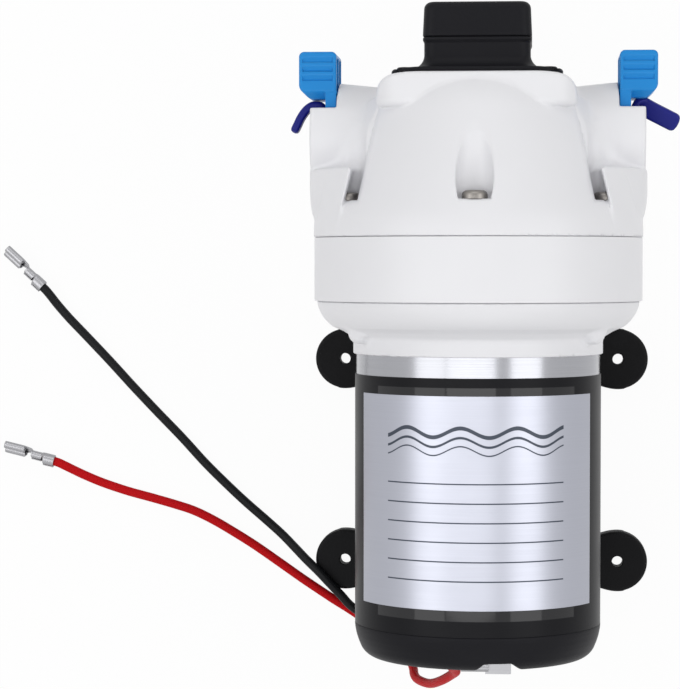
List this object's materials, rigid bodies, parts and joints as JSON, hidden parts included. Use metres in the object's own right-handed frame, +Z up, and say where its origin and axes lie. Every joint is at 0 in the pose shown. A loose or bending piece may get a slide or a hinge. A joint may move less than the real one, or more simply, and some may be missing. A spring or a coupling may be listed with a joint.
{
  "type": "caravan water pump",
  "caption": "Diaphragm water pump on rubber feet: a round motor, a domed white head with side ports, slide clips and plugs, a pressure switch and loose leads.",
  "frame": {"origin": "centre of the four foot holes on the mounting plane", "axes": "+Y along the pump's axis from the motor towards the pressure switch, +Z up and away from the mounting plane, +X towards the outlet port"},
  "size_m": [0.2275, 0.2205, 0.1077],
  "materials": {
    "white_plastic": "smooth moulded, satin",
    "black_plastic": "fine moulded grain",
    "black_steel": "black coated sheet",
    "black_rubber": "matt",
    "bare_steel": "turned, faint circular lines",
    "black_film": "smooth film",
    "silver_film": "satin",
    "plated_steel": "zinc plated",
    "bearing_steel": "ground",
    "magnet": "sintered",
    "lamination": "stacked sheets",
    "copper": "enamelled",
    "brass": "plain",
    "carbon": "pressed carbon",
    "card_board": "laminate",
    "valve_plastic": "smooth moulded",
    "wobble_alloy": "die cast",
    "clip_blue": "smooth moulded",
    "plug_blue": "soft moulded",
    "red_plastic": "smooth moulded",
    "red_insulation": "extruded",
    "black_insulation": "extruded"
  },
  "bodies": {
    "pump": {"base_plate": "black_steel", "foot_front_left": "black_rubber", "foot_front_right": "black_rubber", "foot_rear_left": "black_rubber", "foot_rear_right": "black_rubber", "motor_can": "bare_steel", "motor_wrap": "black_film", "rating_label": "silver_film", "magnets": "magnet", "motor_front_plate": "plated_steel", "front_bearing": "bearing_steel", "motor_rear_plate": "plated_steel", "rear_bearing": "bearing_steel", "brush_card": "card_board", "brushes": "carbon", "brush_springs": "plated_steel", "rear_cap": "black_plastic", "cap_screws": "plated_steel", "motor_tabs": "brass", "drive_housing": "white_plastic", "diaphragm_housing": "white_plastic", "front_housing": "white_plastic", "housing_screws": "plated_steel", "diaphragm": "black_rubber", "valve_plate": "valve_plastic", "inlet_valves": "black_rubber", "outlet_valve": "black_rubber", "valve_seal": "black_rubber", "switch_base": "black_plastic", "switch_cap": "black_plastic", "switch_diaphragm": "black_rubber", "switch_seal": "black_rubber", "switch_spring": "plated_steel", "microswitch": "red_plastic", "switch_screws": "plated_steel", "red_tab_connector": "plated_steel", "black_tab_connector": "plated_steel", "red_lead": "red_insulation", "black_lead": "black_insulation", "red_lead_terminal": "plated_steel", "black_lead_terminal": "plated_steel"},
    "rotor": {"armature_shaft": "bearing_steel", "armature_core": "lamination", "armature_winding": "copper", "commutator": "copper", "cam": "bearing_steel"},
    "wobble": {"wobble_bearing": "bearing_steel", "wobble_plate": "wobble_alloy", "piston_discs": "plated_steel", "piston_screws": "plated_steel"},
    "plunger": {"switch_plunger": "valve_plastic"},
    "adjuster": {"pressure_adjuster": "plated_steel"},
    "inlet_clip_body": {"inlet_clip": "clip_blue"},
    "outlet_clip_body": {"outlet_clip": "clip_blue"},
    "inlet_plug_body": {"inlet_plug": "plug_blue"},
    "outlet_plug_body": {"outlet_plug": "plug_blue"}
  },
  "joints": [
    {"name": "rotor_spin", "type": "hinge", "parent": "pump", "child": "rotor", "pos_m": [0, 0, 0.056], "axis": [0, 1, 0], "continuous": true},
    {"name": "wobble_nutation", "type": "hinge", "parent": "rotor", "child": "wobble", "pos_m": [0, 0.0738, 0.056], "axis": [0, 0.9986, 0.0523], "continuous": true, "deforming": ["diaphragm"]},
    {"name": "switch_plunger_slide", "type": "slide", "parent": "pump", "child": "plunger", "axis": [0, 1, 0], "range_m": [0, 0.001], "stiffness_N_per_m": 2000, "springref_m": -0.001, "deforming": ["switch_spring", "switch_diaphragm"]},
    {"name": "pressure_adjuster_turn", "type": "hinge", "parent": "pump", "child": "adjuster", "pos_m": [0, 0.1412, 0.056], "axis": [0, 1, 0], "range_deg": [-180, 180]},
    {"name": "inlet_clip_slide", "type": "slide", "parent": "pump", "child": "inlet_clip_body", "axis": [0, 1, 0], "range_m": [0, 0.021]},
    {"name": "outlet_clip_slide", "type": "slide", "parent": "pump", "child": "outlet_clip_body", "axis": [0, 1, 0], "range_m": [0, 0.021]},
    {"name": "inlet_plug_pull", "type": "slide", "parent": "pump", "child": "inlet_plug_body", "axis": [-1, 0, 0], "range_m": [0, 0.09]},
    {"name": "outlet_plug_pull", "type": "slide", "parent": "pump", "child": "outlet_plug_body", "axis": [1, 0, 0], "range_m": [0, 0.09]}
  ],
  "couplings": [
    {"joint": "wobble_nutation", "follows": "rotor_spin", "ratio": -1}
  ]
}
